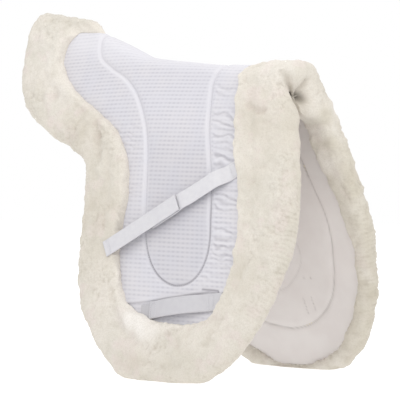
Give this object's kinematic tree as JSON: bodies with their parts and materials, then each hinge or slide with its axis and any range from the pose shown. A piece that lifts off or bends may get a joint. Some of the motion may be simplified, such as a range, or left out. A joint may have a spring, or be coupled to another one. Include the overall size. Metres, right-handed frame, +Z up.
{
  "type": "fitted saddle pad",
  "caption": "Fitted hunter saddle pad folded along its spine, with rolled fleece edges, waffle-knit cover, smooth lining, parting billet straps and girth loops.",
  "frame": {"origin": "middle of the bounding box's base, on the surface that the two flaps stand on", "axes": "+X towards the withers (front), along the fold; +Y to the horse's left; +Z up"},
  "size_m": [0.5712, 0.3188, 0.5273],
  "materials": {
    "fleece": "soft sheared pile, cream",
    "waffle_knit": "matte waffle knit, cool white",
    "lining_fabric": "smooth matte weave",
    "foam": "open-cell foam, hidden",
    "wadding": "polyester wadding, hidden",
    "webbing": "flat woven webbing, soft white",
    "hook_loop": "hook and loop tape, matte",
    "thread": "sewing thread, white"
  },
  "bodies": {
    "spine": {"spine_cover": "waffle_knit", "spine_foam": "foam", "spine_lining": "lining_fabric", "withers_fleece": "fleece", "withers_wadding": "wadding", "cantle_fleece": "fleece", "cantle_wadding": "wadding"},
    "right_flap": {"right_outer_cover": "waffle_knit", "right_lining": "lining_fabric", "right_foam_core": "foam", "right_panel_cushion": "foam", "right_fleece_front": "fleece", "right_fleece_bottom": "fleece", "right_fleece_rear": "fleece", "right_trim_wadding": "wadding", "right_panel_seam": "thread", "right_billet_strap_end": "webbing", "right_billet_tab_end": "webbing", "right_billet_front_stitching": "thread", "right_billet_rear_stitching": "thread", "right_girth_loop": "webbing", "right_girth_underlay": "lining_fabric", "right_girth_rear_stitching": "thread", "right_girth_front_stitching": "thread"},
    "right_billet_strap": {"right_billet_strap": "webbing", "right_billet_loop_patch": "hook_loop"},
    "right_billet_tab": {"right_billet_tab": "webbing", "right_billet_hook_patch": "hook_loop"},
    "left_flap": {"left_outer_cover": "waffle_knit", "left_lining": "lining_fabric", "left_foam_core": "foam", "left_panel_cushion": "foam", "left_fleece_front": "fleece", "left_fleece_bottom": "fleece", "left_fleece_rear": "fleece", "left_trim_wadding": "wadding", "left_panel_seam": "thread", "left_billet_strap_end": "webbing", "left_billet_tab_end": "webbing", "left_billet_front_stitching": "thread", "left_billet_rear_stitching": "thread", "left_girth_loop": "webbing", "left_girth_underlay": "lining_fabric", "left_girth_rear_stitching": "thread", "left_girth_front_stitching": "thread"},
    "left_billet_strap": {"left_billet_strap": "webbing", "left_billet_loop_patch": "hook_loop"},
    "left_billet_tab": {"left_billet_tab": "webbing", "left_billet_hook_patch": "hook_loop"}
  },
  "joints": [
    {"name": "right_flap_fold", "type": "hinge", "parent": "spine", "child": "right_flap", "pos_m": [0.04372, -0.02311, 0.42981], "axis": [-0.9945, 0, 0.1045], "range_deg": [-10, 73.5]},
    {"name": "right_billet_tab_peel", "type": "hinge", "parent": "right_flap", "child": "right_billet_tab", "pos_m": [-0.02493, -0.11214, 0.18438], "axis": [0.5293, -0.2246, -0.8182], "range_deg": [0, 120]},
    {"name": "right_billet_strap_lift", "type": "hinge", "parent": "right_flap", "child": "right_billet_strap", "pos_m": [0.15083, -0.06473, 0.28507], "axis": [-0.5293, 0.2246, 0.8182], "range_deg": [0, 36]},
    {"name": "left_flap_fold", "type": "hinge", "parent": "spine", "child": "left_flap", "pos_m": [0.04372, 0.02311, 0.42981], "axis": [0.9945, 0, -0.1045], "range_deg": [-10, 73.5]},
    {"name": "left_billet_tab_peel", "type": "hinge", "parent": "left_flap", "child": "left_billet_tab", "pos_m": [-0.02493, 0.11214, 0.18438], "axis": [-0.5293, -0.2246, 0.8182], "range_deg": [0, 120]},
    {"name": "left_billet_strap_lift", "type": "hinge", "parent": "left_flap", "child": "left_billet_strap", "pos_m": [0.15083, 0.06473, 0.28507], "axis": [0.5293, 0.2246, -0.8182], "range_deg": [0, 36]}
  ],
  "couplings": [
    {"joint": "right_billet_strap_lift", "follows": "right_billet_tab_peel", "ratio": 0.3},
    {"joint": "left_billet_strap_lift", "follows": "left_billet_tab_peel", "ratio": 0.3}
  ]
}
